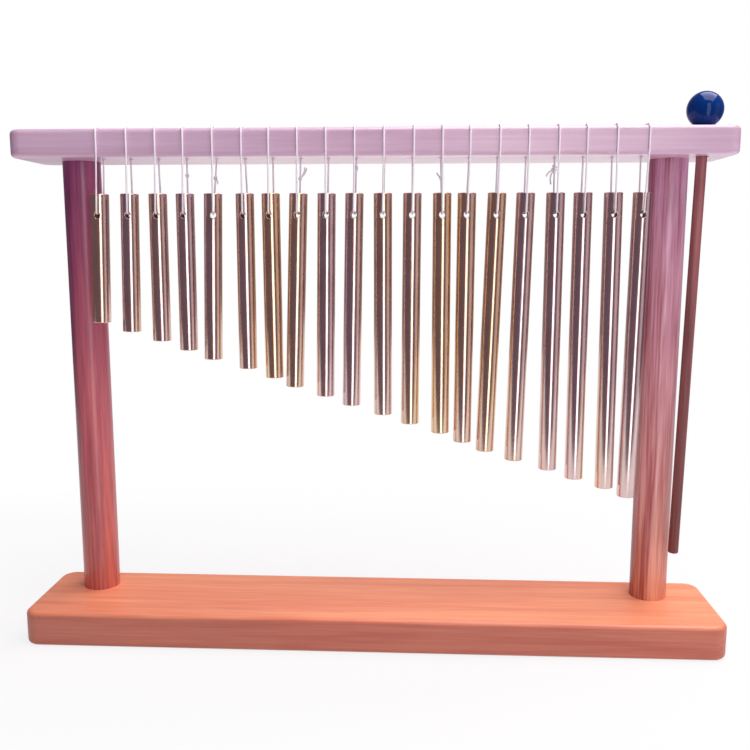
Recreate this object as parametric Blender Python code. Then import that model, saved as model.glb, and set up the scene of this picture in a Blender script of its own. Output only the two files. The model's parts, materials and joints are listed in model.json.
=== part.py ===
"""Tabletop mark tree: twenty brass tubes on cords under a wooden beam, with its beater.

Metres, +Z up. The origin is the middle of the base board's underside, +X runs from the
short tubes to the long ones, and the tubes hang on the front side, towards -Y.
"""

import math

import bmesh
import bpy
from mathutils import Matrix, Vector

# Fit
GAP = 0.0003                    # left between pieces that touch each other

# Tubes
TUBE_COUNT = 20
TUBE_DIAMETER = 0.0095
TUBE_WALL = 0.001
TUBE_SPACE = 0.00507            # free width between two neighbouring places in the row
SHORTEST_TUBE = 0.0671
LONGEST_TUBE = 0.1587
TUBE_END_CHAMFER = 0.0004
TUBE_HOLE_DROP = 0.011          # from a tube's top end down to its cross hole
TUBE_BEHIND_BEAM_FACE = 0.00665 # tube axis behind the beam's front face

# Cords
CORD_DIAMETER = 0.001
CORD_DROP = 0.0183              # from the beam's underside to the tubes' top ends
CORD_SETBACK = 0.0138           # cord holes behind the beam's front face
BEAM_HOLE_PLAY = 0.001          # free width round the cord in its hole in the beam
TUBE_HOLE_PLAY = 0.0011         # free width round the cord in a tube's cross hole
CORD_BEND = 0.001               # how far from a corner the cord starts to turn

# Stand
BASE_THICKNESS = 0.019
BASE_DEPTH = 0.0613
BASE_OVERHANG_LEFT = 0.0292     # from the post's axis to the board's end
BASE_OVERHANG_RIGHT = 0.0324
BEAM_THICKNESS = 0.01425
BEAM_DEPTH = 0.048
BEAM_OVERHANG = 0.0286
CORNER_RADIUS = 0.008           # upright corners of both boards
EDGE_RADIUS = 0.0025            # eased edges of both boards
POST_DIAMETER = 0.020
POST_TO_END_TUBE = 0.0193       # between the axes of a post and the end place of the row
ROW_OFFSET = 0.0009             # the row sits a little right of the middle of the posts
POST_TO_REAR = 0.009            # wood left behind each post
SOCKET_DEPTH = 0.006            # how deep the posts sit in both boards
FOOT_SPACE = 0.0642             # from the base board up to the longest tube

# Screws
SCREW_LENGTH = 0.030
SCREW_DIAMETER = 0.004
SCREW_HEAD_DIAMETER = 0.008
SCREW_HEAD_HEIGHT = 0.0022
SCREW_TIP = 0.004
SCREW_SUNK = 0.0005             # how far a head lies below the wood's surface
RECESS_WIDTH = 0.0009
RECESS_LENGTH = 0.0044
RECESS_DEPTH = 0.0012

# Beater
STICK_DIAMETER = 0.0055
STICK_PLAY = 0.00075            # free width round the stick in the beam's hole
STICK_TO_POST = 0.0023          # between the stick's axis and the post's side
STICK_FOOT_SPACE = 0.0305       # from the base board up to the stick's lower end
STICK_END_CHAMFER = 0.0008
BALL_DIAMETER = 0.0182
BALL_SOCKET = 0.004             # how far past the ball's middle the stick reaches
BEATER_LEAN = math.radians(1.0)

# Roundness of the turned pieces
POST_SIDES = 32
TUBE_SIDES = 16
HOLE_SIDES = 12
STICK_SIDES = 16
BALL_SIDES = 24
BALL_RINGS = 12
SCREW_SIDES = 14
CORNER_STEPS = 4
EDGE_STEPS = 2
QUARTER_ROUND = 0.5             # bevel profile that makes a quarter circle
BEND_STEPS = 2
CORD_ROUNDNESS = 1

# How each cord and tube hangs, by how far right of its place in the row, as shares of the
# free width: the hole in the beam, the cord on the beam's face, the tube's hole, its foot
HANG = (
    (-0.50, -0.20, -0.60, -0.90), (-0.50, 0.00, -0.35, -0.60), (-0.45, 0.05, -0.25, -0.30),
    (-0.35, 0.00, -0.30, -0.35), (-0.10, 0.10, -0.30, -0.65), (0.00, 0.15, 0.15, 0.15),
    (0.00, 0.00, -0.05, 0.05), (0.00, 0.00, -0.15, -0.70), (0.00, 0.00, -0.10, -0.35),
    (0.00, 0.00, -0.15, -0.50), (0.00, 0.05, -0.10, -0.05), (0.00, 0.15, 0.00, -0.10),
    (0.00, 0.10, 0.15, 0.20), (0.00, -0.05, -0.25, -0.35), (0.00, 0.00, -0.15, -0.85),
    (0.00, -0.05, -0.15, -0.70), (0.00, 0.00, 0.00, 0.00), (0.00, -0.15, -0.15, -0.10),
    (0.00, -0.10, 0.00, 0.20), (0.00, 0.10, -0.05, -0.35),
)
# Tubes whose cross hole has turned to the right, in degrees
TURNED_TUBES = {2: 3, 5: 12, 6: -5, 7: -6}

# Worked out from the sizes above
CORD_RADIUS = CORD_DIAMETER / 2
CORD_CLEAR = CORD_RADIUS + GAP
TUBE_RADIUS = TUBE_DIAMETER / 2
POST_RADIUS = POST_DIAMETER / 2
STICK_RADIUS = STICK_DIAMETER / 2
BALL_RADIUS = BALL_DIAMETER / 2
STICK_HOLE_RADIUS = STICK_RADIUS + STICK_PLAY
TUBE_PITCH = TUBE_DIAMETER + TUBE_SPACE
ROW_LENGTH = (TUBE_COUNT - 1) * TUBE_PITCH
POST_SPACING = ROW_LENGTH + 2 * POST_TO_END_TUBE
POSTS_MIDDLE = (BASE_OVERHANG_LEFT - BASE_OVERHANG_RIGHT) / 2
LEFT_POST_X = POSTS_MIDDLE - POST_SPACING / 2
RIGHT_POST_X = POSTS_MIDDLE + POST_SPACING / 2
FIRST_PLACE_X = POSTS_MIDDLE + ROW_OFFSET - ROW_LENGTH / 2
BASE_LENGTH = POST_SPACING + BASE_OVERHANG_LEFT + BASE_OVERHANG_RIGHT
BEAM_LENGTH = POST_SPACING + 2 * BEAM_OVERHANG
REAR_Y = BASE_DEPTH / 2
BEAM_FRONT_Y = REAR_Y - BEAM_DEPTH
POST_Y = REAR_Y - POST_TO_REAR - POST_RADIUS
TUBE_Y = BEAM_FRONT_Y + TUBE_BEHIND_BEAM_FACE
HOLE_Y = BEAM_FRONT_Y + CORD_SETBACK
TUBE_TOP = BASE_THICKNESS + FOOT_SPACE + LONGEST_TUBE
TUBE_HOLE_Z = TUBE_TOP - TUBE_HOLE_DROP
BEAM_UNDERSIDE = TUBE_TOP + CORD_DROP
BEAM_TOP = BEAM_UNDERSIDE + BEAM_THICKNESS
SWING_Y = (BEAM_FRONT_Y - CORD_CLEAR + HOLE_Y) / 2
STICK_X = RIGHT_POST_X + POST_RADIUS + STICK_TO_POST
SHARP_ANGLE = math.radians(35)


def clear_scene():
    """Remove every object that the file opens with."""
    for item in list(bpy.data.objects):
        bpy.data.objects.remove(item, do_unlink=True)


def finish(name, colour, roughness, metallic=0.0):
    """A plain material of one colour."""
    material = bpy.data.materials.new(name)
    material.use_nodes = True
    shader = material.node_tree.nodes["Principled BSDF"]
    shader.inputs["Base Color"].default_value = (*colour, 1.0)
    shader.inputs["Roughness"].default_value = roughness
    shader.inputs["Metallic"].default_value = metallic
    return material


def place(name, data, material, location=(0, 0, 0), rotation=(0, 0, 0), parent=None):
    """Put a mesh or a curve in the scene as one named piece."""
    piece = bpy.data.objects.new(name, data)
    bpy.context.scene.collection.objects.link(piece)
    piece.location = location
    piece.rotation_euler = rotation
    piece.parent = parent
    data.materials.clear()
    data.materials.append(material)
    return piece


def mesh_from(bm, name):
    """Turn a bmesh into a mesh with its faces pointing out."""
    bmesh.ops.recalc_face_normals(bm, faces=bm.faces)
    mesh = bpy.data.meshes.new(name)
    bm.to_mesh(mesh)
    bm.free()
    return mesh


def shade(piece):
    """Smooth the round faces and keep the edges sharp."""
    piece.data.shade_smooth()
    piece.data.set_sharp_from_angle(angle=SHARP_ANGLE)


def turned(name, profile, sides, closed=False):
    """A mesh turned about Z from (radius, height) points; a closed profile makes a ring."""
    bm = bmesh.new()
    verts = [bm.verts.new((radius, 0, height)) for radius, height in profile]
    edges = [bm.edges.new(pair) for pair in zip(verts, verts[1:])]
    if closed:
        edges.append(bm.edges.new((verts[-1], verts[0])))
    bmesh.ops.spin(bm, geom=verts + edges, cent=(0, 0, 0), axis=(0, 0, 1),
                   angle=math.tau, steps=sides, use_merge=True)
    bmesh.ops.remove_doubles(bm, verts=bm.verts, dist=GAP / 100)
    return mesh_from(bm, name)


def rod(name, radius, bottom, top, sides, chamfer=0.0):
    """A solid round rod about Z, with chamfered ends where a chamfer is given."""
    if chamfer:
        profile = [(0, bottom), (radius - chamfer, bottom), (radius, bottom + chamfer),
                   (radius, top - chamfer), (radius - chamfer, top), (0, top)]
    else:
        profile = [(0, bottom), (radius, bottom), (radius, top), (0, top)]
    return turned(name, profile, sides)


def carve(piece, cutter):
    """Cut the cutter's shape out of a piece for good and delete the cutter."""
    cut = piece.modifiers.new("cut", "BOOLEAN")
    cut.operation = "DIFFERENCE"
    cut.solver = "EXACT"
    cut.object = cutter
    bpy.context.view_layer.update()
    graph = bpy.context.evaluated_depsgraph_get()
    cut_mesh = bpy.data.meshes.new_from_object(piece.evaluated_get(graph))
    piece.modifiers.clear()
    piece.data = cut_mesh
    bpy.data.objects.remove(cutter, do_unlink=True)


def board(name, length, depth, thickness, centre, material):
    """A flat board with round upright corners and eased edges."""
    bm = bmesh.new()
    bmesh.ops.create_cube(bm, size=1.0)
    bmesh.ops.scale(bm, vec=(length, depth, thickness), verts=bm.verts)
    upright = [e for e in bm.edges if abs(e.verts[0].co.z - e.verts[1].co.z) > GAP]
    bmesh.ops.bevel(bm, geom=upright, offset=CORNER_RADIUS, segments=CORNER_STEPS,
                    profile=QUARTER_ROUND, affect="EDGES", material=-1)
    rims = [e for e in bm.edges if abs(e.verts[0].co.z - e.verts[1].co.z) < GAP]
    bmesh.ops.bevel(bm, geom=rims, offset=EDGE_RADIUS, segments=EDGE_STEPS,
                    profile=QUARTER_ROUND, affect="EDGES", material=-1)
    return place(name, mesh_from(bm, name), material, location=centre)


def screw_profile(extra):
    """Half section of a countersunk screw with its head at height 0, swollen by extra."""
    head = SCREW_HEAD_DIAMETER / 2 + extra
    shank = SCREW_DIAMETER / 2 + extra
    return [(0, 0), (head, 0), (shank, -SCREW_HEAD_HEIGHT),
            (shank, SCREW_TIP - SCREW_LENGTH), (0, -SCREW_LENGTH - extra)]


def screw_mesh():
    """One countersunk wood screw with a cross recess in its head."""
    blank = finish("blank", (1, 1, 1), 1.0)
    screw = place("screw", turned("screw", screw_profile(0.0), SCREW_SIDES), blank)
    for turn in (0, math.pi / 2):
        bm = bmesh.new()
        bmesh.ops.create_cube(bm, size=1.0)
        bmesh.ops.scale(bm, vec=(RECESS_LENGTH, RECESS_WIDTH, 2 * RECESS_DEPTH), verts=bm.verts)
        slot = place("slot", mesh_from(bm, "slot"), blank, rotation=(0, 0, turn))
        carve(screw, slot)
    mesh = screw.data
    bpy.data.objects.remove(screw, do_unlink=True)
    return mesh


def screw_places(board_name):
    """Where the two screws of a board sit: a name and a matrix for each."""
    if board_name == "base":
        head = Matrix.Translation((0, 0, SCREW_SUNK)) @ Matrix.Rotation(math.pi, 4, "X")
    else:
        head = Matrix.Translation((0, 0, BEAM_TOP - SCREW_SUNK))
    sides = (("left", LEFT_POST_X), ("right", RIGHT_POST_X))
    return [(f"{board_name}_screw_{side}", Matrix.Translation((x, POST_Y, 0)) @ head)
            for side, x in sides]


def add_screws(material):
    """The four screws, two from below and two from above."""
    screw = screw_mesh()
    for name, matrix in screw_places("base") + screw_places("beam"):
        piece = place(name, screw, material)
        piece.matrix_world = matrix
        shade(piece)


def drill_for_screws(piece, board_name):
    """Cut the room for a pair of screws out of a board or a post."""
    section = screw_profile(GAP)
    mouth = [(radius, SCREW_SUNK + GAP) for radius, height in section[:2]]
    for name, matrix in screw_places(board_name):
        cutter = place("cutter", turned("cutter", mouth + section[1:], SCREW_SIDES),
                       piece.data.materials[0])
        cutter.matrix_world = matrix
        carve(piece, cutter)


def drill_sockets(piece, bottom, top):
    """Cut the two round sockets that the posts sit in."""
    for x in (LEFT_POST_X, RIGHT_POST_X):
        cutter = place("cutter", rod("cutter", POST_RADIUS + GAP, bottom, top, POST_SIDES),
                       piece.data.materials[0], location=(x, POST_Y, 0))
        carve(piece, cutter)


def hanging_xs(number):
    """The x of a cord's hole, of the cord on the beam's face, of its tube's hole and foot."""
    place_x = FIRST_PLACE_X + (number - 1) * TUBE_PITCH
    return [place_x + share * TUBE_SPACE for share in HANG[(number - 1) % len(HANG)]]


def add_base_board(material):
    """The board that stands on the table."""
    base = board("base_board", BASE_LENGTH, BASE_DEPTH, BASE_THICKNESS,
                 (0, 0, BASE_THICKNESS / 2), material)
    drill_sockets(base, BASE_THICKNESS - SOCKET_DEPTH, BASE_THICKNESS + SOCKET_DEPTH)
    drill_for_screws(base, "base")
    shade(base)


def add_top_beam(material):
    """The beam, with a hole for each cord and one for the beater."""
    centre = (POSTS_MIDDLE, REAR_Y - BEAM_DEPTH / 2, BEAM_UNDERSIDE + BEAM_THICKNESS / 2)
    beam = board("top_beam", BEAM_LENGTH, BEAM_DEPTH, BEAM_THICKNESS, centre, material)
    through = (BEAM_UNDERSIDE - BEAM_THICKNESS, BEAM_TOP + BEAM_THICKNESS)
    numbers = range(1, TUBE_COUNT + 1)
    holes = [(hanging_xs(number)[0], CORD_RADIUS + BEAM_HOLE_PLAY) for number in numbers]
    holes.append((STICK_X, STICK_HOLE_RADIUS))
    bm = bmesh.new()
    for x, radius in holes:
        first = len(bm.verts)
        bm.from_mesh(rod("drill", radius, *through, HOLE_SIDES))
        bm.verts.ensure_lookup_table()
        bmesh.ops.translate(bm, vec=(x, HOLE_Y, 0), verts=bm.verts[first:])
    carve(beam, place("drills", mesh_from(bm, "drills"), material))
    drill_sockets(beam, BEAM_UNDERSIDE - SOCKET_DEPTH, BEAM_UNDERSIDE + SOCKET_DEPTH)
    drill_for_screws(beam, "beam")
    shade(beam)


def add_posts(left_material, right_material):
    """The two round posts, seated in both boards and screwed from below and above."""
    bottom = BASE_THICKNESS - SOCKET_DEPTH + GAP
    top = BEAM_UNDERSIDE + SOCKET_DEPTH - GAP
    posts = (("left_post", LEFT_POST_X, left_material), ("right_post", RIGHT_POST_X, right_material))
    for name, x, material in posts:
        post = place(name, rod(name, POST_RADIUS, bottom, top, POST_SIDES), material,
                     location=(x, POST_Y, 0))
        drill_for_screws(post, "base")
        drill_for_screws(post, "beam")
        shade(post)


def eased(corners):
    """A closed route through corners, each given as (point, reach of its bend)."""
    route = []
    count = len(corners)
    for index, (corner, reach) in enumerate(corners):
        back = (corners[index - 1][0] - corner).normalized() * reach
        ahead = (corners[(index + 1) % count][0] - corner).normalized() * reach
        for step in range(BEND_STEPS + 1):
            t = step / BEND_STEPS
            route.append(corner + back * (1 - t) ** 2 + ahead * t ** 2)
    return route


def cord_route(hole_x, face_x, tube_x, facing):
    """The closed loop of one cord: over the beam's edge, through the tube and back up."""
    front_y = BEAM_FRONT_Y - CORD_CLEAR
    over_z = BEAM_TOP + CORD_CLEAR
    hang_z = TUBE_HOLE_Z + TUBE_HOLE_PLAY - GAP
    axis = Vector((tube_x, TUBE_Y, hang_z))
    side = facing * (TUBE_RADIUS + CORD_CLEAR)
    edge = EDGE_RADIUS + CORD_CLEAR
    return eased([
        (Vector((face_x, front_y, over_z)), edge),
        (Vector((face_x, front_y, BEAM_UNDERSIDE + EDGE_RADIUS)), CORD_BEND),
        (axis + side, CORD_BEND),
        (axis - side, CORD_BEND),
        (Vector((hole_x, HOLE_Y, BEAM_UNDERSIDE)), CORD_BEND),
        (Vector((hole_x, HOLE_Y, over_z)), CORD_BEND),
    ])


def add_cord(number, facing, material):
    """One knotted loop of cord, as a closed curve about its swing axis."""
    name = f"cord_{number:02d}"
    hole_x, face_x, tube_x, foot_x = hanging_xs(number)
    pivot = Vector((hole_x, SWING_Y, BEAM_UNDERSIDE))
    curve = bpy.data.curves.new(name, "CURVE")
    curve.dimensions = "3D"
    curve.bevel_depth = CORD_RADIUS
    curve.bevel_resolution = CORD_ROUNDNESS
    curve.resolution_u = 1
    curve.render_resolution_u = 0
    route = cord_route(hole_x, face_x, tube_x, facing)
    spline = curve.splines.new("POLY")
    spline.points.add(len(route) - 1)
    for knot, point in zip(spline.points, route):
        knot.co = (*(point - pivot), 1.0)
    spline.use_cyclic_u = True
    return place(name, curve, material, location=pivot)


def tube_length(number):
    """The tubes grow by the same step from the shortest to the longest."""
    share = (number - 1) / (TUBE_COUNT - 1)
    return SHORTEST_TUBE + share * (LONGEST_TUBE - SHORTEST_TUBE)


def add_tube(number, tube_x, lean, turn, cord, material):
    """One open tube with a cross hole, its origin on the hole's axis."""
    name = f"tube_{number:02d}"
    top = TUBE_HOLE_DROP
    foot = top - tube_length(number)
    inner = TUBE_RADIUS - TUBE_WALL
    rim = TUBE_RADIUS - TUBE_END_CHAMFER
    profile = [(inner, foot), (rim, foot), (TUBE_RADIUS, foot + TUBE_END_CHAMFER),
               (TUBE_RADIUS, top - TUBE_END_CHAMFER), (rim, top), (inner, top)]
    place_in_cord = Vector((tube_x, TUBE_Y, TUBE_HOLE_Z)) - cord.location
    tube = place(name, turned(name, profile, TUBE_SIDES, closed=True), material)
    drill = rod("drill", CORD_RADIUS + TUBE_HOLE_PLAY, -TUBE_DIAMETER, TUBE_DIAMETER, HOLE_SIDES)
    carve(tube, place("drill", drill, material, rotation=(math.pi / 2, 0, 0)))
    shade(tube)
    tube.parent = cord
    tube.location = place_in_cord
    tube.rotation_euler = (0, -lean, turn)


def add_row(cord_material, tube_material):
    """Every tube on its cord, from the shortest to the longest."""
    for number in range(1, TUBE_COUNT + 1):
        hole_x, face_x, tube_x, foot_x = hanging_xs(number)
        hanging = tube_length(number) - TUBE_HOLE_DROP
        lean = math.asin((foot_x - tube_x) / hanging)
        turn = math.radians(TURNED_TUBES.get(number, 0))
        facing = Vector((math.sin(turn), -math.cos(turn), 0))
        cord = add_cord(number, facing, cord_material)
        add_tube(number, tube_x, lean, turn, cord, tube_material)


def add_beater(stick_material, ball_material):
    """The beater: its stick hangs through the beam and its ball rests on the hole's rim."""
    seat = Vector((STICK_X, HOLE_Y, BEAM_TOP))
    middle = BEAM_THICKNESS / 2
    aside = math.tan(BEATER_LEAN) * (middle + BALL_RADIUS)
    reach = STICK_HOLE_RADIUS - aside
    rise = math.sqrt((BALL_RADIUS + GAP) ** 2 - reach ** 2) / math.cos(BEATER_LEAN)
    stick_foot = (BASE_THICKNESS + STICK_FOOT_SPACE - BEAM_TOP + middle) / math.cos(BEATER_LEAN)
    ball_z = middle + rise
    stick_top = ball_z + BALL_SOCKET
    axis = bpy.data.objects.new("beater_axis", None)
    bpy.context.scene.collection.objects.link(axis)
    axis.location = seat - Vector((0, 0, middle))
    axis.rotation_euler = (0, BEATER_LEAN, 0)
    bm = bmesh.new()
    bmesh.ops.create_uvsphere(bm, u_segments=BALL_SIDES, v_segments=BALL_RINGS, radius=BALL_RADIUS)
    ball = place("mallet_head", mesh_from(bm, "mallet_head"), ball_material)
    socket = rod("socket", STICK_RADIUS + GAP, -BALL_DIAMETER, BALL_SOCKET + GAP, STICK_SIDES)
    carve(ball, place("socket", socket, ball_material))
    shade(ball)
    ball.parent = axis
    ball.location = (0, 0, ball_z)
    stick = place("mallet_stick", rod("mallet_stick", STICK_RADIUS, stick_foot, stick_top,
                                      STICK_SIDES, STICK_END_CHAMFER), stick_material, parent=axis)
    shade(stick)


def main():
    clear_scene()
    beam_wood = finish("beam_wood", (0.54, 0.33, 0.42), 0.45)
    base_wood = finish("base_wood", (0.72, 0.25, 0.15), 0.45)
    left_wood = finish("left_post_wood", (0.32, 0.08, 0.12), 0.40)
    right_wood = finish("right_post_wood", (0.56, 0.21, 0.18), 0.40)
    brass = finish("polished_brass", (0.72, 0.53, 0.33), 0.15, 1.0)
    cord = finish("white_cord", (0.82, 0.78, 0.86), 0.80)
    stick_wood = finish("stick_wood", (0.24, 0.09, 0.10), 0.50)
    blue = finish("blue_lacquer", (0.003, 0.032, 0.19), 0.10)
    steel = finish("zinc_steel", (0.55, 0.55, 0.57), 0.30, 1.0)
    add_base_board(base_wood)
    add_top_beam(beam_wood)
    add_posts(left_wood, right_wood)
    add_screws(steel)
    add_row(cord, brass)
    add_beater(stick_wood, blue)


main()
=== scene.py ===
"""The finish of a tabletop mark tree: oiled wood, polished brass tubes, twisted cord, a blue ball.

Run it as a script. Every piece is built over the fixed frame, in metres; all but the cords ride on
their bodies.
"""

import json
import math

import bmesh
import bpy
from bpy.props import FloatProperty, FloatVectorProperty, IntProperty, PointerProperty
from mathutils import Matrix, Vector


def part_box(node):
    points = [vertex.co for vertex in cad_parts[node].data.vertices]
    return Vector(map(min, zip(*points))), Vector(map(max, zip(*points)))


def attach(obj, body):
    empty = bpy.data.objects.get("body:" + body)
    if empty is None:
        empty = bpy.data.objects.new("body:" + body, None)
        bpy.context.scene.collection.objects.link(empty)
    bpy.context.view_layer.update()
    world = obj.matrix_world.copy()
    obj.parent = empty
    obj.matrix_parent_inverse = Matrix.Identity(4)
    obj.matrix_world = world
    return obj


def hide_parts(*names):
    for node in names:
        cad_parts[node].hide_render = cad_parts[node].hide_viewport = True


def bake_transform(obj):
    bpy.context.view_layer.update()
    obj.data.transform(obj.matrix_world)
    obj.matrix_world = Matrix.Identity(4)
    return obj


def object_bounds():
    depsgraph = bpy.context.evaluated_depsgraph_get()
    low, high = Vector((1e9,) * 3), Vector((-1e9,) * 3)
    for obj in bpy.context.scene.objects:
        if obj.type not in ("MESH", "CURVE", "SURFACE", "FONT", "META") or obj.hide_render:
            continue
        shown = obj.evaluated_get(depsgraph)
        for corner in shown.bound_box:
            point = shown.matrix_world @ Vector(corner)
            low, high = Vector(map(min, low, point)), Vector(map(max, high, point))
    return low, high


bl_info = {
    "name": "Mark Tree",
    "version": (1, 0, 0),
    "blender": (4, 5, 0),
    "location": "View3D > Sidebar > Mark Tree",
    "description": "Builds the finished pieces of a tabletop mark tree",
    "category": "Add Mesh",
}

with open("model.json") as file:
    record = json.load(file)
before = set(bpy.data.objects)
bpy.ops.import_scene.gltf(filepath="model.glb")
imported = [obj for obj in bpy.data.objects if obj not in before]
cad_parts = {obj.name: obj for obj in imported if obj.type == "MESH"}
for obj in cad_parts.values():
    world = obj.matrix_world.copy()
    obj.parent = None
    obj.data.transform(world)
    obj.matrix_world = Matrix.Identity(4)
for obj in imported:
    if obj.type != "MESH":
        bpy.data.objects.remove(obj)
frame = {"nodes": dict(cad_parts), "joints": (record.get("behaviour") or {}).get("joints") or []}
CAD_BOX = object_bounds()

TUBE_COUNT = 20
JOINTS = {joint["name"]: joint for joint in frame["joints"]}
BASE_LOW, BASE_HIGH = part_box("base_board")
BEAM_LOW, BEAM_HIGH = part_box("top_beam")

# How far a drill sticks out of what it cuts, and a height that counts as level
DRILL_SPARE = 0.01
FLAT = 0.0001

# The holes of the boards: their diameters and sides, and the countersink over a screw's head
CORD_HOLE = 0.003
CORD_HOLE_SIDES = 24
STICK_HOLE = 0.007
DRILL_SIDES = 32
HEAD_CLEARANCE = 0.0003
HEAD_DEPTH = 0.0006

# Roundness of the tubes and of the small round edges
TUBE_SIDES = 48
EASE_STEPS = 3

# The rounding of the stick's foot, the bends of the cords, and half the height over which a cord
# turns from the stand to its swing
STICK_EASE = 0.0008
CORD_BEND = 0.001

# How the colours change with height: the tint that is reached at the upper end of a piece. On the
# posts it is painted purple shade under the beam; the stick is made paler and bluer towards its
# top
LEFT_POST_TOP_PAINTED_SHADE = (0.50, 0.44, 1.70)
RIGHT_POST_TOP_PAINTED_SHADE = (0.97, 1.27, 3.00)
STICK_TOP = (1.9, 4.5, 7.0)
# Painted light: the base board is paler on top, where the light falls from above, and the beam is
# paler below, where light comes up from the base
BASE_TOP_PAINTED_LIGHT = (1.80, 2.15, 1.85)
BEAM_PAINTED_UNDERSIDE_LIGHT = (0.76, 0.75, 0.76)

# The lamps: name, place, width and height, share of the key light's power, tint
LAMPS = (
    ("overhead", (0.35, -0.05, 1.15), (1.3, 0.9), 1.1, (1.0, 0.96, 0.96)),
    ("window", (0.27, -1.00, 0.12), (0.36, 1.60), 0.28, (1.0, 0.98, 0.97)),
    ("side", (0.85, -0.34, 0.00), (0.50, 1.40), 0.055, (1.0, 0.90, 0.95)),
)

# The lamps face this height over the middle of the base, or their own height if that is lower
LAMP_AIM = 0.15

# The room that shiny surfaces see: on the camera's side, and behind the object
ROOM = (0.20, 0.145, 0.19, 1.0)
ROOM_BEHIND = (0.42, 0.38, 0.40, 1.0)
WHITE = (1.0, 1.0, 1.0, 1.0)

# Half the floor's width and depth, and where its middle lies behind the object
FLOOR_HALF_SIZE = (0.80, 0.60)
FLOOR_MIDDLE = 0.40

# The camera: its place, and how far it looks down and to the left in degrees
CAMERA_PLACE = (0.02425, -0.46034, 0.21563)
CAMERA_DOWN = 8.6136
CAMERA_LEFT = 2.8331

# The knots that show: the cord's number, how far down the rear strand, the size, and the tails'
# reaches to the right and up in metres
KNOTS = {
    4: (0.30, 0.8, ()),
    5: (0.35, 0.8, ((0.0012, -0.0030),)),
    8: (0.36, 0.7, ((0.0024, 0.0056), (0.0035, 0.0053))),
    10: (0.18, 1.1, ()),
    13: (0.36, 0.8, ((-0.0022, 0.0026),)),
    17: (0.20, 2.1, ((-0.0042, -0.0040), (-0.0016, -0.0080))),
}


def colour(name, description, default):
    """A colour that the user can change."""
    return FloatVectorProperty(name=name, description=description, default=default,
                               subtype="COLOR", size=3, min=0.0, max=1.0)


def length(name, description, default):
    """A length in metres that the user can change."""
    return FloatProperty(name=name, description=description, default=default,
                         unit="LENGTH", min=0.0)


class StandSettings(bpy.types.PropertyGroup):
    """Sizes and colours of the wooden stand."""
    corner: length("Corner Radius", "Radius of the boards' upright corners", 0.008)
    edge: length("Edge Radius", "Rounding of the boards' edges", 0.0025)
    base_light: colour("Base Wood", "Pale grain of the base board", (0.58, 0.21, 0.13))
    base_dark: colour("Base Grain", "Dark grain of the base board", (0.42, 0.085, 0.053))
    beam_light: colour("Beam Wood", "Pale grain of the top beam", (1.0, 0.74, 0.96))
    beam_dark: colour("Beam Grain", "Dark grain of the top beam", (0.76, 0.51, 0.69))
    left_light: colour("Left Post Wood", "Pale grain of the left post", (0.82, 0.21, 0.13))
    left_dark: colour("Left Post Grain", "Dark grain of the left post", (0.31, 0.052, 0.068))
    right_light: colour("Right Post Wood", "Pale grain of the right post", (0.79, 0.35, 0.22))
    right_dark: colour("Right Post Grain", "Dark grain of the right post", (0.40, 0.077, 0.056))


class TubeSettings(bpy.types.PropertyGroup):
    """Sizes and colours of the brass tubes."""
    diameter: length("Diameter", "Outer diameter of a tube", 0.0095)
    wall: length("Wall", "Thickness of a tube's wall", 0.001)
    ease: length("Eased End", "Rounding of a tube's ends", 0.0004)
    hole: length("Hole", "Diameter of the cross hole", 0.0032)
    flare: length("Hole Flare", "Width of the bright bevel round the hole", 0.0004)
    brass: colour("Brass", "Colour of the polished brass", (0.72, 0.55, 0.54))
    golden: colour("Golden Brass", "Colour of the more golden tubes", (0.78, 0.56, 0.38))
    tarnish: colour("Tarnish", "Colour of the duller brass", (0.50, 0.31, 0.28))


class CordSettings(bpy.types.PropertyGroup):
    """Sizes and colours of the cord."""
    diameter: length("Diameter", "Diameter of the cord", 0.0009)
    clear: length("Clearance", "Distance between the cord and what it rests on", 0.0003)
    cotton: colour("Cord", "Colour of the cord", (0.97, 0.94, 1.0))


class MalletSettings(bpy.types.PropertyGroup):
    """Colours of the mallet."""
    stick_light: colour("Stick Wood", "Pale grain of the stick", (0.26, 0.040, 0.025))
    stick_dark: colour("Stick Grain", "Dark grain of the stick", (0.09, 0.012, 0.010))
    ball: colour("Ball", "Colour of the glossy ball", (0.001, 0.036, 0.21))


class StageSettings(bpy.types.PropertyGroup):
    """The floor, the light and the camera."""
    floor: colour("Floor", "Colour of the floor and the backdrop", (0.80, 0.79, 0.81))
    key: FloatProperty(name="Key Light", description="Power of the main lamp", default=18.0,
                       min=0.0, unit="POWER")
    fill: FloatProperty(name="Fill", description="Strength of the soft light all round",
                        default=0.8, min=0.0)
    lens: FloatProperty(name="Lens", description="Focal length of the camera in millimetres",
                        default=41.203, min=1.0, unit="CAMERA")
    sides: IntProperty(name="Roundness", description="Sides of the turned pieces", default=64,
                       min=8)


def settings():
    """The sizes and colours that the user can change."""
    return bpy.context.scene.mark_tree


def node(tree, kind, inputs=None, **values):
    """Add a shader node; an input is a value or another node's output socket."""
    made = tree.nodes.new(kind)
    for key, value in values.items():
        setattr(made, key, value)
    for key, value in (inputs or {}).items():
        if isinstance(value, bpy.types.NodeSocket):
            tree.links.new(value, made.inputs[key])
        else:
            made.inputs[key].default_value = value
    return made


def new_material(name):
    """An empty material with its node tree and its surface shader."""
    material = bpy.data.materials.new(name)
    material.use_nodes = True
    return material, material.node_tree, material.node_tree.nodes["Principled BSDF"]


def mixed(tree, share, first, second, blend="MIX"):
    """A colour between two others, or another blend of the two."""
    mix = node(tree, "ShaderNodeMix", data_type="RGBA", blend_type=blend)
    for socket, value in ((mix.inputs[0], share), (mix.inputs[6], first), (mix.inputs[7], second)):
        if isinstance(value, bpy.types.NodeSocket):
            tree.links.new(value, socket)
        else:
            socket.default_value = value
    return mix.outputs[2]


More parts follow.
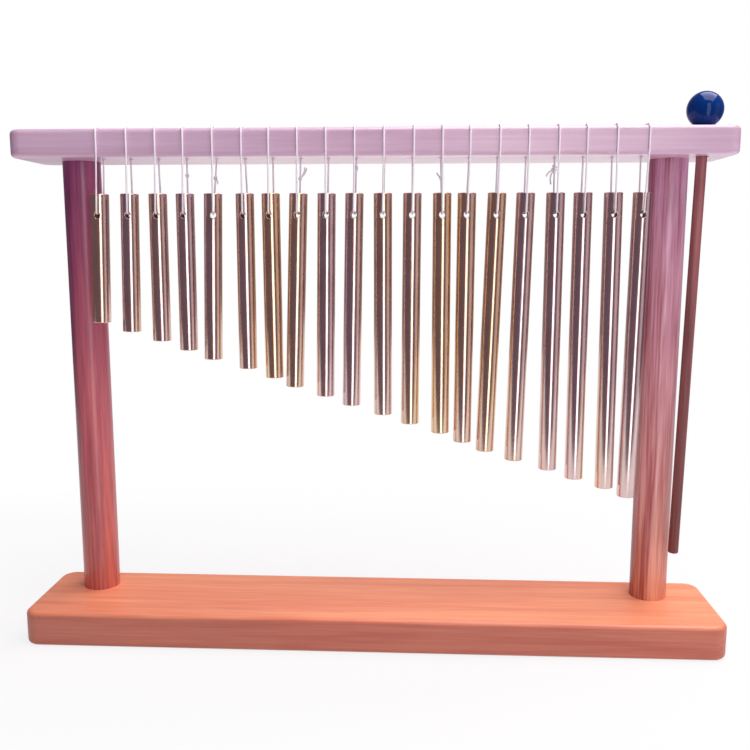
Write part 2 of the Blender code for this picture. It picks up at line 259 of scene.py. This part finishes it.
def wood(name, light, dark, along, coat=0.4, contrast=1.0, grain=900.0, above=None,
         heights=(BASE_HIGH.z, BEAM_LOW.z)):
    """Lacquered wood whose grain runs along one axis.

    Where a tint is given as above, the surface takes it on between two heights. The boards and
    posts use it for painted light and shade, and the stick for a paler, bluer top.
    """
    material, tree, shader = new_material(name)
    squeeze = [1.0, 1.0, 1.0]
    squeeze["XYZ".index(along)] = 0.035
    coords = node(tree, "ShaderNodeTexCoord").outputs["Object"]
    placed = node(tree, "ShaderNodeMapping", {"Vector": coords, "Scale": squeeze})
    place = placed.outputs[0]
    bands = node(tree, "ShaderNodeTexNoise", {"Vector": place, "Scale": grain * 0.16,
                                              "Detail": 4.0, "Distortion": 0.6})
    fine = node(tree, "ShaderNodeTexNoise", {"Vector": place, "Scale": grain, "Detail": 6.0})
    patch = node(tree, "ShaderNodeTexNoise", {"Vector": coords, "Scale": 9.0, "Detail": 2.0})
    both = node(tree, "ShaderNodeMath", {0: bands.outputs[0], 1: 0.6}, operation="MULTIPLY")
    total = node(tree, "ShaderNodeMath", {0: fine.outputs[0], 1: 0.4, 2: both.outputs[0]},
                 operation="MULTIPLY_ADD")
    spread = node(tree, "ShaderNodeMapRange", {"Value": total.outputs[0],
                                               "From Min": 0.5 - 0.16 / contrast,
                                               "From Max": 0.5 + 0.16 / contrast})
    base = mixed(tree, spread.outputs[0], (*dark, 1.0), (*light, 1.0))
    warm = mixed(tree, patch.outputs[0], (0.86, 0.86, 0.90, 1.0), (1.10, 1.06, 1.02, 1.0))
    surface = mixed(tree, 1.0, base, warm, "MULTIPLY")
    # Painted light and shade by height on the boards and posts; a paler, bluer top on the stick
    if above:
        height = node(tree, "ShaderNodeSeparateXYZ", {"Vector": coords}).outputs["Z"]
        rise = node(tree, "ShaderNodeMapRange", {"Value": height, "From Min": heights[0],
                                                 "From Max": heights[1]})
        shift = mixed(tree, rise.outputs[0], WHITE, (*above, 1.0))
        surface = mixed(tree, 1.0, surface, shift, "MULTIPLY")
    tree.links.new(surface, shader.inputs["Base Color"])
    rough = node(tree, "ShaderNodeMapRange", {"Value": fine.outputs[0], "To Min": 0.38,
                                              "To Max": 0.52})
    tree.links.new(rough.outputs[0], shader.inputs["Roughness"])
    bump = node(tree, "ShaderNodeBump", {"Height": total.outputs[0], "Strength": 0.12,
                                         "Distance": 0.0004})
    tree.links.new(bump.outputs[0], shader.inputs["Normal"])
    shader.inputs["Coat Weight"].default_value = coat
    shader.inputs["Coat Roughness"].default_value = 0.12
    return material


def brass_finish(name, brass, golden, tarnish):
    """Polished brass tube with faint drawn streaks along its length and dull patches."""
    material, tree, shader = new_material(name)
    coords = node(tree, "ShaderNodeTexCoord").outputs["Object"]
    streak = node(tree, "ShaderNodeMapping", {"Vector": coords, "Scale": (1.0, 1.0, 0.02)})
    lines = node(tree, "ShaderNodeTexNoise", {"Vector": streak.outputs[0], "Scale": 2200.0,
                                              "Detail": 3.0})
    cloud = node(tree, "ShaderNodeTexNoise", {"Vector": coords, "Scale": 60.0, "Detail": 4.0})
    dull = node(tree, "ShaderNodeMapRange", {"Value": cloud.outputs[0], "From Min": 0.45,
                                             "From Max": 0.75, "To Max": 0.35})
    each = node(tree, "ShaderNodeMapping", {"Vector": coords, "Scale": (1.0, 0.0, 0.05)})
    batch = node(tree, "ShaderNodeTexNoise", {"Vector": each.outputs[0], "Scale": 50.0})
    gold = node(tree, "ShaderNodeMapRange", {"Value": batch.outputs[0], "From Min": 0.40,
                                             "From Max": 0.62})
    body = mixed(tree, gold.outputs[0], (*brass, 1.0), (*golden, 1.0))
    base = mixed(tree, dull.outputs[0], body, (*tarnish, 1.0))
    tree.links.new(base, shader.inputs["Base Color"])
    rough = node(tree, "ShaderNodeMapRange", {"Value": lines.outputs[0], "To Min": 0.12,
                                              "To Max": 0.26})
    tree.links.new(rough.outputs[0], shader.inputs["Roughness"])
    bump = node(tree, "ShaderNodeBump", {"Height": lines.outputs[0], "Strength": 0.05,
                                         "Distance": 0.0001})
    tree.links.new(bump.outputs[0], shader.inputs["Normal"])
    shader.inputs["Metallic"].default_value = 1.0
    return material


def cord_finish(name, cotton):
    """Twisted cord: fine slanting strands, with painted shade in the grooves between them."""
    material, tree, shader = new_material(name)
    coords = node(tree, "ShaderNodeTexCoord").outputs["Object"]
    turn = node(tree, "ShaderNodeMapping", {"Vector": coords, "Rotation": (0.0, 0.7, 0.7)})
    strands = node(tree, "ShaderNodeTexWave", {"Vector": turn.outputs[0], "Scale": 700.0,
                                               "Distortion": 1.5, "Detail": 2.0})
    # Painted shade: the grooves between the strands are darker
    shadow = tuple(0.88 * part for part in cotton)
    base = mixed(tree, strands.outputs["Fac"], (*shadow, 1.0), (*cotton, 1.0))
    tree.links.new(base, shader.inputs["Base Color"])
    bump = node(tree, "ShaderNodeBump", {"Height": strands.outputs["Fac"], "Strength": 0.25,
                                         "Distance": 0.0002})
    tree.links.new(bump.outputs[0], shader.inputs["Normal"])
    shader.inputs["Roughness"].default_value = 0.75
    shader.inputs["Sheen Weight"].default_value = 0.3
    return material


def gloss_finish(name, paint):
    """Thick glossy paint with a faint unevenness."""
    material, tree, shader = new_material(name)
    coords = node(tree, "ShaderNodeTexCoord").outputs["Object"]
    dust = node(tree, "ShaderNodeTexNoise", {"Vector": coords, "Scale": 900.0, "Detail": 3.0})
    deep = tuple(0.7 * part for part in paint)
    base = mixed(tree, dust.outputs[0], (*deep, 1.0), (*paint, 1.0))
    tree.links.new(base, shader.inputs["Base Color"])
    bump = node(tree, "ShaderNodeBump", {"Height": dust.outputs[0], "Strength": 0.02,
                                         "Distance": 0.0001})
    tree.links.new(bump.outputs[0], shader.inputs["Normal"])
    shader.inputs["Roughness"].default_value = 0.12
    shader.inputs["Specular IOR Level"].default_value = 0.2
    return material


def steel_finish(name):
    """Zinc-plated screw with a brushed look."""
    material, tree, shader = new_material(name)
    coords = node(tree, "ShaderNodeTexCoord").outputs["Object"]
    grain = node(tree, "ShaderNodeTexNoise", {"Vector": coords, "Scale": 1500.0, "Detail": 4.0})
    base = mixed(tree, grain.outputs[0], (0.45, 0.45, 0.47, 1.0), (0.68, 0.68, 0.70, 1.0))
    tree.links.new(base, shader.inputs["Base Color"])
    shader.inputs["Metallic"].default_value = 1.0
    shader.inputs["Roughness"].default_value = 0.32
    return material


def as_piece(bm, name):
    """A bmesh as an object at the origin, its faces pointing out."""
    bmesh.ops.recalc_face_normals(bm, faces=bm.faces)
    mesh = bpy.data.meshes.new(name)
    bm.to_mesh(mesh)
    bm.free()
    piece = bpy.data.objects.new(name, mesh)
    bpy.context.scene.collection.objects.link(piece)
    return piece


def carve(piece, cutter):
    """Cut a cutter's shape out of a piece for good."""
    cut = piece.modifiers.new("cut", "BOOLEAN")
    cut.operation = "DIFFERENCE"
    cut.solver = "EXACT"
    cut.object = cutter
    graph = bpy.context.evaluated_depsgraph_get()
    mesh = bpy.data.meshes.new_from_object(piece.evaluated_get(graph))
    piece.modifiers.clear()
    piece.data = mesh
    bpy.data.objects.remove(cutter, do_unlink=True)


def dress(piece, material, slot, body, *nodes, angle=30):
    """Shade a piece, give it its finish, and put it in the place of its CAD nodes."""
    piece.data.materials.clear()
    piece.data.materials.append(material)
    piece.data.shade_smooth()
    piece.data.set_sharp_from_angle(angle=math.radians(angle))
    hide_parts(*nodes)
    if body:
        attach(piece, body)


def turned(profile, sides, matrix, closed=False):
    """A bmesh turned about Z from (radius, height) points, then put in its place."""
    bm = bmesh.new()
    verts = [bm.verts.new((radius, 0, height)) for radius, height in profile]
    edges = [bm.edges.new(pair) for pair in zip(verts, verts[1:])]
    if closed:
        edges.append(bm.edges.new((verts[-1], verts[0])))
    bmesh.ops.spin(bm, geom=verts + edges, cent=(0, 0, 0), axis=(0, 0, 1),
                   angle=math.tau, steps=sides, use_merge=True)
    bmesh.ops.remove_doubles(bm, verts=bm.verts, dist=1e-6)
    bmesh.ops.transform(bm, matrix=matrix, verts=bm.verts)
    return bm


def board(low, high, corner, edge):
    """A board with round upright corners and rounded edges."""
    bm = bmesh.new()
    bmesh.ops.create_cube(bm, size=1.0)
    bmesh.ops.scale(bm, vec=high - low, verts=bm.verts)
    bmesh.ops.translate(bm, vec=(low + high) / 2, verts=bm.verts)
    upright = [e for e in bm.edges if abs(e.verts[0].co.z - e.verts[1].co.z) > FLAT]
    bmesh.ops.bevel(bm, geom=upright, offset=corner, segments=12, profile=0.5,
                    affect="EDGES", material=-1)
    rims = [e for e in bm.edges if abs(e.verts[0].co.z - e.verts[1].co.z) < FLAT]
    bmesh.ops.bevel(bm, geom=rims, offset=edge, segments=6, profile=0.5,
                    affect="EDGES", material=-1)
    return bm


def drill(bm, x, y, z, radius, depth_low, depth_high, sides):
    """Add a round drill to a bmesh of cutters."""
    centre = Matrix.Translation((x, y, z + (depth_low + depth_high) / 2))
    bmesh.ops.create_cone(bm, cap_ends=True, segments=sides, radius1=radius, radius2=radius,
                          depth=depth_high - depth_low, matrix=centre)


def even_shading(piece):
    """Keep the flats flat beside the rounded edges."""
    even = piece.modifiers.new("even shading", "WEIGHTED_NORMAL")
    even.keep_sharp = True
    even.weight = 100


def screw_cutters(bm, side, surface, outward):
    """Countersinks over both screws of a board, on its top (outward 1) or underside (-1)."""
    for name in ("left", "right"):
        low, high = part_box(f"{side}_screw_{name}")
        middle = (low + high) / 2
        radius = (high.x - low.x) / 2 + HEAD_CLEARANCE
        depths = (-HEAD_DEPTH, DRILL_SPARE) if outward > 0 else (-DRILL_SPARE, HEAD_DEPTH)
        drill(bm, middle.x, middle.y, surface, radius, *depths, DRILL_SIDES)


class MARKTREE_OT_boards(bpy.types.Operator):
    """Build the base board and the top beam with its holes"""
    bl_idname = "mark_tree.boards"
    bl_label = "Boards"

    def execute(self, context):
        stand = settings().stand
        base = as_piece(board(BASE_LOW, BASE_HIGH, stand.corner, stand.edge), "base_board_wood")
        cutters = bmesh.new()
        screw_cutters(cutters, "base", BASE_LOW.z, -1)
        carve(base, as_piece(cutters, "base_cutters"))
        # The base board's top carries painted light, which makes it paler than its sides
        red_wood = wood("Base Wood", stand.base_light, stand.base_dark, "X", coat=0.15,
                        contrast=0.7, above=BASE_TOP_PAINTED_LIGHT,
                        heights=(BASE_HIGH.z - stand.edge, BASE_HIGH.z))
        dress(base, red_wood, "base_wood", "stand", "base_board")
        even_shading(base)
        beam = as_piece(board(BEAM_LOW, BEAM_HIGH, stand.corner, stand.edge), "top_beam_wood")
        cutters = bmesh.new()
        screw_cutters(cutters, "beam", BEAM_HIGH.z, 1)
        thick = BEAM_HIGH.z - BEAM_LOW.z
        for number in range(1, TUBE_COUNT + 1):
            x, y = cord_hole(number)
            drill(cutters, x, y, BEAM_LOW.z, CORD_HOLE / 2, -DRILL_SPARE,
                  thick + DRILL_SPARE, CORD_HOLE_SIDES)
        x, y = stick_hole()
        drill(cutters, x, y, BEAM_LOW.z, STICK_HOLE / 2, -DRILL_SPARE, thick + DRILL_SPARE,
              DRILL_SIDES)
        carve(beam, as_piece(cutters, "beam_cutters"))
        # The beam's underside carries painted light: the rest of the beam is tinted darker
        pale_wood = wood("Beam Wood", stand.beam_light, stand.beam_dark, "X", coat=0.6,
                         contrast=0.7, above=BEAM_PAINTED_UNDERSIDE_LIGHT,
                         heights=(BEAM_LOW.z, BEAM_LOW.z + stand.edge))
        dress(beam, pale_wood, "beam_wood", "stand", "top_beam")
        even_shading(beam)
        return {"FINISHED"}


def cord_hole(number):
    """Middle of a cord's hole in the beam."""
    pivot = JOINTS[f"cord_{number:02d}_swing"]["pos_m"]
    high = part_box(f"cord_{number:02d}")[1]
    return pivot[0], high.y - settings().cords.diameter / 2


def stick_hole():
    """Middle of the mallet's hole in the beam, half way up the beam."""
    lean = Vector(JOINTS["mallet_lift"]["axis"])
    foot = stick_ends()[0]
    rise = (BEAM_LOW.z + BEAM_HIGH.z) / 2 - foot.z
    return foot.x + lean.x / lean.z * rise, foot.y


def stick_ends():
    """Middle of the stick's lower and upper end."""
    low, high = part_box("mallet_stick")
    lean = Vector(JOINTS["mallet_lift"]["axis"])
    aside = (high.z - low.z) * lean.x / lean.z
    radius = (high.x - low.x - aside) / 2
    y = (low.y + high.y) / 2
    return Vector((low.x + radius, y, low.z)), Vector((high.x - radius, y, high.z))


class MARKTREE_OT_posts(bpy.types.Operator):
    """Build the two round posts"""
    bl_idname = "mark_tree.posts"
    bl_label = "Posts"

    def execute(self, context):
        tree = settings()
        woods = {
            # The posts take painted purple shade towards their tops, under the beam
            "left_post": wood("Left Post Wood", tree.stand.left_light, tree.stand.left_dark,
                              "Z", above=LEFT_POST_TOP_PAINTED_SHADE),
            "right_post": wood("Right Post Wood", tree.stand.right_light, tree.stand.right_dark,
                               "Z", contrast=1.6, above=RIGHT_POST_TOP_PAINTED_SHADE),
        }
        for name, material in woods.items():
            low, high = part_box(name)
            middle = (low + high) / 2
            radius = (high.y - low.y) / 2
            profile = [(0, low.z), (radius, low.z), (radius, high.z), (0, high.z)]
            place = Matrix.Translation((middle.x, middle.y, 0))
            post = as_piece(turned(profile, tree.stage.sides, place), f"{name}_wood")
            dress(post, material, f"{name}_wood", "stand", name)
        return {"FINISHED"}


def tube_ends(number):
    """Middle of a tube's top and bottom end, measured on its solid."""
    verts = [v.co for v in frame["nodes"][f"tube_{number:02d}"].data.vertices]
    top = max(co.z for co in verts)
    foot = min(co.z for co in verts)
    near = settings().tubes.diameter / 4
    upper = [co for co in verts if co.z > top - near]
    lower = [co for co in verts if co.z < foot + near]
    return sum(upper, Vector()) / len(upper), sum(lower, Vector()) / len(lower)


def eased_tube_profile(radius, wall, ease, foot, top):
    """Half section of a tube with rounded outer edges at both ends."""
    inner = radius - wall
    middle = radius - ease
    angles = [math.pi / 2 * step / EASE_STEPS for step in range(EASE_STEPS + 1)]
    lower = [(middle + ease * math.sin(a), foot + ease - ease * math.cos(a)) for a in angles]
    upper = [(middle + ease * math.cos(a), top - ease + ease * math.sin(a)) for a in angles]
    return [(inner, foot), *lower, *upper, (inner, top)]


class MARKTREE_OT_tubes(bpy.types.Operator):
    """Build the twenty brass tubes with their cross holes"""
    bl_idname = "mark_tree.tubes"
    bl_label = "Tubes"

    def execute(self, context):
        tubes = settings().tubes
        radius = tubes.diameter / 2
        brass = brass_finish("Polished Brass", tubes.brass, tubes.golden, tubes.tarnish)
        for number in range(1, TUBE_COUNT + 1):
            name = f"tube_{number:02d}"
            hole = Vector(JOINTS[f"{name}_tilt"]["pos_m"])
            facing = Vector(JOINTS[f"{name}_tilt"]["axis"])
            upper, lower = tube_ends(number)
            up = (upper - lower).normalized()
            side = up.cross(facing).normalized()
            place = Matrix((side, -facing, up)).transposed().to_4x4()
            place.translation = hole
            low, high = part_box(name)
            top = (high.z - hole.z - radius * math.hypot(up.x, up.y)) / up.z
            foot = (low.z - hole.z + radius * math.hypot(up.x, up.y)) / up.z
            profile = eased_tube_profile(radius, tubes.wall, tubes.ease, foot, top)
            tube = as_piece(turned(profile, TUBE_SIDES, place, closed=True), f"{name}_brass")
            bore = tubes.hole / 2
            flare = tubes.flare
            cut = [(0, -2 * radius), (bore + flare + radius, -2 * radius),
                   (bore + flare, -radius), (bore, flare - radius), (bore, radius - flare),
                   (bore + flare, radius), (bore + flare + radius, 2 * radius), (0, 2 * radius)]
            across = place @ Matrix.Rotation(math.pi / 2, 4, "X")
            carve(tube, as_piece(turned(cut, DRILL_SIDES, across), "cutter"))
            dress(tube, brass, "tube_brass", name, name, angle=35)
        return {"FINISHED"}


def eased(corners, steps=5):
    """A closed route through corners, each given as (point, reach of its bend)."""
    route = []
    count = len(corners)
    for index, (corner, reach) in enumerate(corners):
        back = (corners[index - 1][0] - corner).normalized() * reach
        ahead = (corners[(index + 1) % count][0] - corner).normalized() * reach
        for step in range(steps + 1):
            t = step / steps
            route.append(corner + back * (1 - t) ** 2 + ahead * t ** 2)
    return route


def cord_corners(number):
    """The corners of a cord's loop: over the beam's edge, through the tube and back up."""
    cords = settings().cords
    clear = cords.diameter / 2 + cords.clear
    hole = Vector(JOINTS[f"tube_{number:02d}_tilt"]["pos_m"])
    facing = Vector(JOINTS[f"tube_{number:02d}_tilt"]["axis"])
    hole_x, hole_y = cord_hole(number)
    front_y = BEAM_LOW.y - clear
    over_z = BEAM_HIGH.z + clear
    edge = settings().stand.edge
    solid = frame["nodes"][f"cord_{number:02d}"].data.vertices
    on_face = [v.co.x for v in solid if v.co.y < BEAM_LOW.y and v.co.z > BEAM_LOW.z + edge]
    face_x = sum(on_face) / len(on_face)
    tube_radius = settings().tubes.diameter / 2
    axis = hole + Vector((0, 0, settings().tubes.hole / 2 - clear))
    side = facing * (tube_radius + clear)
    return [
        (Vector((face_x, front_y, over_z)), edge + clear),
        (Vector((face_x, front_y, BEAM_LOW.z + edge)), CORD_BEND),
        (axis + side, CORD_BEND),
        (axis - side, CORD_BEND),
        (Vector((hole_x, hole_y, BEAM_LOW.z)), CORD_BEND),
        (Vector((hole_x, hole_y, over_z)), CORD_BEND),
    ]


def tube_of_points(name, points, radius, cyclic):
    """A round cord mesh along points."""
    curve = bpy.data.curves.new(name, "CURVE")
    curve.dimensions = "3D"
    curve.bevel_depth = radius
    curve.bevel_resolution = 3
    curve.use_fill_caps = not cyclic
    spline = curve.splines.new("POLY")
    spline.points.add(len(points) - 1)
    for knot, point in zip(spline.points, points):
        knot.co = (*point, 1.0)
    spline.use_cyclic_u = cyclic
    shaper = bpy.data.objects.new(name, curve)
    bpy.context.scene.collection.objects.link(shaper)
    graph = bpy.context.evaluated_depsgraph_get()
    mesh = bpy.data.meshes.new_from_object(shaper.evaluated_get(graph))
    bpy.data.objects.remove(shaper, do_unlink=True)
    return mesh


def knot_points(middle, size, diameter, turns=3, steps=36):
    """Turns of cord wound closely round a point."""
    points = []
    for step in range(steps):
        t = step / (steps - 1)
        angle = turns * math.tau * t
        reach = diameter * (0.45 + 0.40 * size * math.sin(math.pi * t))
        points.append(middle + Vector((reach * math.cos(angle), reach * math.sin(angle),
                                       0.75 * diameter * size * turns * (t - 0.5))))
    return points


def tail_points(middle, right, up, steps=8):
    """A short loose end that bows out from a knot."""
    points = []
    for step in range(steps + 1):
        t = step / steps
        bow = 0.25 * math.hypot(right, up) * math.sin(math.pi * t)
        points.append(middle + Vector((right * t + math.copysign(bow, right) * 0.5, -0.0004 * t,
                                       up * t)))
    return points


class MARKTREE_OT_cords(bpy.types.Operator):
    """Build the twenty cord loops, with the knots that show"""
    bl_idname = "mark_tree.cords"
    bl_label = "Cords"

    def execute(self, context):
        cords = settings().cords
        finish = cord_finish("Twisted Cord", cords.cotton)
        for number in range(1, TUBE_COUNT + 1):
            name = f"cord_{number:02d}"
            corners = cord_corners(number)
            meshes = [tube_of_points(name, eased(corners), cords.diameter / 2, True)]
            if number in KNOTS:
                share, size, tails = KNOTS[number]
                start, end = corners[4][0], corners[3][0]
                middle = start.lerp(end, share)
                routes = [knot_points(middle, size, cords.diameter)]
                routes += [tail_points(middle, right, up) for right, up in tails]
                for route in routes:
                    meshes.append(tube_of_points(name, route, cords.diameter * 0.42, False))
            bm = bmesh.new()
            for mesh in meshes:
                bm.from_mesh(mesh)
            cord = as_piece(bm, f"{name}_twine")
            dress(cord, finish, "cord", None, name, angle=60)
            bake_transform(cord)
        return {"FINISHED"}


class MARKTREE_OT_mallet(bpy.types.Operator):
    """Build the mallet's stick and its glossy ball"""
    bl_idname = "mark_tree.mallet"
    bl_label = "Mallet"

    def execute(self, context):
        tree = settings()
        lean = Vector(JOINTS["mallet_lift"]["axis"]).normalized()
        foot, top = stick_ends()
        low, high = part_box("mallet_stick")
        radius = (high.y - low.y) / 2
        reach = (top - foot).length
        place = Matrix.Rotation(math.atan2(lean.x, lean.z), 4, "Y")
        place.translation = foot
        profile = [(0, 0), (radius - STICK_EASE, 0),
                   (radius - STICK_EASE * 0.3, STICK_EASE * 0.3), (radius, STICK_EASE),
                   (radius, reach), (0, reach)]
        stick = as_piece(turned(profile, DRILL_SIDES, place), "mallet_stick_wood")
        thin_wood = wood("Stick Wood", tree.mallet.stick_light, tree.mallet.stick_dark, "Z",
                         coat=0.0, above=STICK_TOP)
        dress(stick, thin_wood, "stick_wood", "mallet", "mallet_stick")
        low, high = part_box("mallet_head")
        ball_radius = (high.x - low.x) / 2
        centre = Vector(((low.x + high.x) / 2, (low.y + high.y) / 2, high.z - ball_radius))
        bm = bmesh.new()
        bmesh.ops.create_uvsphere(bm, u_segments=64, v_segments=32, radius=ball_radius,
                                  matrix=Matrix.Translation(centre))
        ball = as_piece(bm, "mallet_head_gloss")
        dress(ball, gloss_finish("Blue Gloss", tree.mallet.ball), "ball_lacquer", "mallet",
              "mallet_head")
        return {"FINISHED"}


class MARKTREE_OT_screws(bpy.types.Operator):
    """Give the four screws their plated steel"""
    bl_idname = "mark_tree.screws"
    bl_label = "Screws"

    def execute(self, context):
        steel = steel_finish("Plated Steel")
        for name, screw in frame["nodes"].items():
            if "screw" in name:
                screw.data.materials.clear()
                screw.data.materials.append(steel)
        return {"FINISHED"}


def soft_room(strength):
    """Soft light all round: a white picture, and a dim mauve room for what isn't seen."""
    world = bpy.data.worlds.new("Soft Light")
    world.use_nodes = True
    tree = world.node_tree
    ray = node(tree, "ShaderNodeTexCoord").outputs["Generated"]
    ahead = node(tree, "ShaderNodeSeparateXYZ", {"Vector": ray})
    behind = node(tree, "ShaderNodeMapRange", {"Value": ahead.outputs["Y"], "From Min": 0.6,
                                               "From Max": 0.85})
    room = mixed(tree, behind.outputs[0], ROOM, ROOM_BEHIND)
    light = tree.nodes["Background"]
    tree.links.new(room, light.inputs["Color"])
    light.inputs["Strength"].default_value = strength
    white = node(tree, "ShaderNodeBackground", {"Color": WHITE, "Strength": 1.0})
    path = node(tree, "ShaderNodeLightPath")
    # Shiny surfaces see the white too, where it lies within the picture
    framed = node(tree, "ShaderNodeMapRange", {"Value": ahead.outputs["Y"], "From Min": 0.90,
                                               "From Max": 0.97})
    seen = node(tree, "ShaderNodeMath", {0: path.outputs["Is Glossy Ray"], 1: framed.outputs[0],
                                         2: path.outputs["Is Camera Ray"]},
                operation="MULTIPLY_ADD")
    choice = node(tree, "ShaderNodeMixShader")
    tree.links.new(seen.outputs[0], choice.inputs[0])
    tree.links.new(light.outputs[0], choice.inputs[1])
    tree.links.new(white.outputs[0], choice.inputs[2])
    tree.links.new(choice.outputs[0], tree.nodes["World Output"].inputs["Surface"])
    return world


def pale_floor(tone):
    """A pale floor that the camera sees nearly white, with the object's soft shadow."""
    material, tree, shader = new_material("Pale Floor")
    coords = node(tree, "ShaderNodeTexCoord").outputs["Object"]
    cloud = node(tree, "ShaderNodeTexNoise", {"Vector": coords, "Scale": 2.0})
    paler = tuple(min(1.0, part * 1.03) for part in tone)
    shade = mixed(tree, cloud.outputs[0], (*tone, 1.0), (*paler, 1.0))
    tree.links.new(shade, shader.inputs["Base Color"])
    shader.inputs["Roughness"].default_value = 0.9
    glow = node(tree, "ShaderNodeEmission", {"Color": WHITE, "Strength": 1.0})
    path = node(tree, "ShaderNodeLightPath")
    # The shadow fades out in an oval round the object
    edge = node(tree, "ShaderNodeMapping", {"Vector": coords, "Location": (0.0, -0.10, 0.0),
                                            "Scale": (1.4, 3.6, 1.0)})
    away = node(tree, "ShaderNodeVectorMath", {0: edge.outputs[0]}, operation="LENGTH")
    fade = node(tree, "ShaderNodeMapRange", {"Value": away.outputs["Value"], "From Min": 0.25,
                                             "From Max": 1.0, "To Min": 0.80, "To Max": 1.0})
    seen = node(tree, "ShaderNodeMath", {0: path.outputs["Is Camera Ray"],
                                         1: path.outputs["Is Glossy Ray"]}, operation="MAXIMUM")
    share = node(tree, "ShaderNodeMath", {0: seen.outputs[0], 1: fade.outputs[0]},
                 operation="MULTIPLY")
    choice = node(tree, "ShaderNodeMixShader")
    tree.links.new(share.outputs[0], choice.inputs[0])
    tree.links.new(shader.outputs[0], choice.inputs[1])
    tree.links.new(glow.outputs[0], choice.inputs[2])
    tree.links.new(choice.outputs[0], tree.nodes["Material Output"].inputs["Surface"])
    return material


class MARKTREE_OT_stage(bpy.types.Operator):
    """Set up the pale floor, the soft light and the camera"""
    bl_idname = "mark_tree.stage"
    bl_label = "Stage"

    def execute(self, context):
        stage = settings().stage
        scene = context.scene
        bm = bmesh.new()
        bmesh.ops.create_grid(bm, x_segments=1, y_segments=1, size=1.0)
        bmesh.ops.scale(bm, vec=(*FLOOR_HALF_SIZE, 1.0), verts=bm.verts)
        bmesh.ops.translate(bm, vec=(0, FLOOR_MIDDLE, CAD_BOX[0][2] - FLAT), verts=bm.verts)
        floor = as_piece(bm, "floor")
        floor.data.materials.append(pale_floor(stage.floor))
        scene.world = soft_room(stage.fill)
        for name, place, size, power, tint in LAMPS:
            lamp = bpy.data.lights.new(name, "AREA")
            lamp.shape = "RECTANGLE"
            lamp.size, lamp.size_y = size
            lamp.energy = power * stage.key
            lamp.color = tint
            holder = bpy.data.objects.new(name, lamp)
            holder.location = place
            aim = Vector((0, 0, min(LAMP_AIM, holder.location.z))) - holder.location
            holder.rotation_euler = aim.to_track_quat("-Z", "Y").to_euler()
            scene.collection.objects.link(holder)
        lens = bpy.data.cameras.new("camera")
        lens.lens = stage.lens
        lens.sensor_width = 36.0
        camera = bpy.data.objects.new("camera", lens)
        camera.location = CAMERA_PLACE
        camera.rotation_euler = (math.radians(90 - CAMERA_DOWN), 0, math.radians(CAMERA_LEFT))
        scene.collection.objects.link(camera)
        scene.camera = camera
        scene.view_settings.view_transform = "Standard"
        return {"FINISHED"}


class MarkTreeSettings(bpy.types.PropertyGroup):
    """All the sizes and colours of the mark tree."""
    stand: PointerProperty(type=StandSettings, name="Stand")
    tubes: PointerProperty(type=TubeSettings, name="Tubes")
    cords: PointerProperty(type=CordSettings, name="Cords")
    mallet: PointerProperty(type=MalletSettings, name="Mallet")
    stage: PointerProperty(type=StageSettings, name="Stage")


OPERATORS = (MARKTREE_OT_boards, MARKTREE_OT_posts, MARKTREE_OT_screws, MARKTREE_OT_tubes,
             MARKTREE_OT_cords, MARKTREE_OT_mallet, MARKTREE_OT_stage)


class MARKTREE_PT_panel(bpy.types.Panel):
    """The pieces of the mark tree and their settings"""
    bl_idname = "MARKTREE_PT_panel"
    bl_label = "Mark Tree"
    bl_space_type = "VIEW_3D"
    bl_region_type = "UI"
    bl_category = "Mark Tree"

    def draw(self, context):
        for operator in OPERATORS:
            self.layout.operator(operator.bl_idname)
        for group in ("stand", "tubes", "cords", "mallet", "stage"):
            box = self.layout.box()
            box.label(text=group.title())
            values = getattr(context.scene.mark_tree, group)
            for name in values.__annotations__:
                box.prop(values, name)


CLASSES = (StandSettings, TubeSettings, CordSettings, MalletSettings, StageSettings,
           MarkTreeSettings, *OPERATORS, MARKTREE_PT_panel)


def register():
    for item in CLASSES:
        bpy.utils.register_class(item)
    bpy.types.Scene.mark_tree = PointerProperty(type=MarkTreeSettings)


def unregister():
    del bpy.types.Scene.mark_tree
    for item in reversed(CLASSES):
        bpy.utils.unregister_class(item)


def main():
    register()
    for operator in OPERATORS:
        group, name = operator.bl_idname.split(".")
        getattr(getattr(bpy.ops, group), name)()


if __name__ == "__main__":
    main()
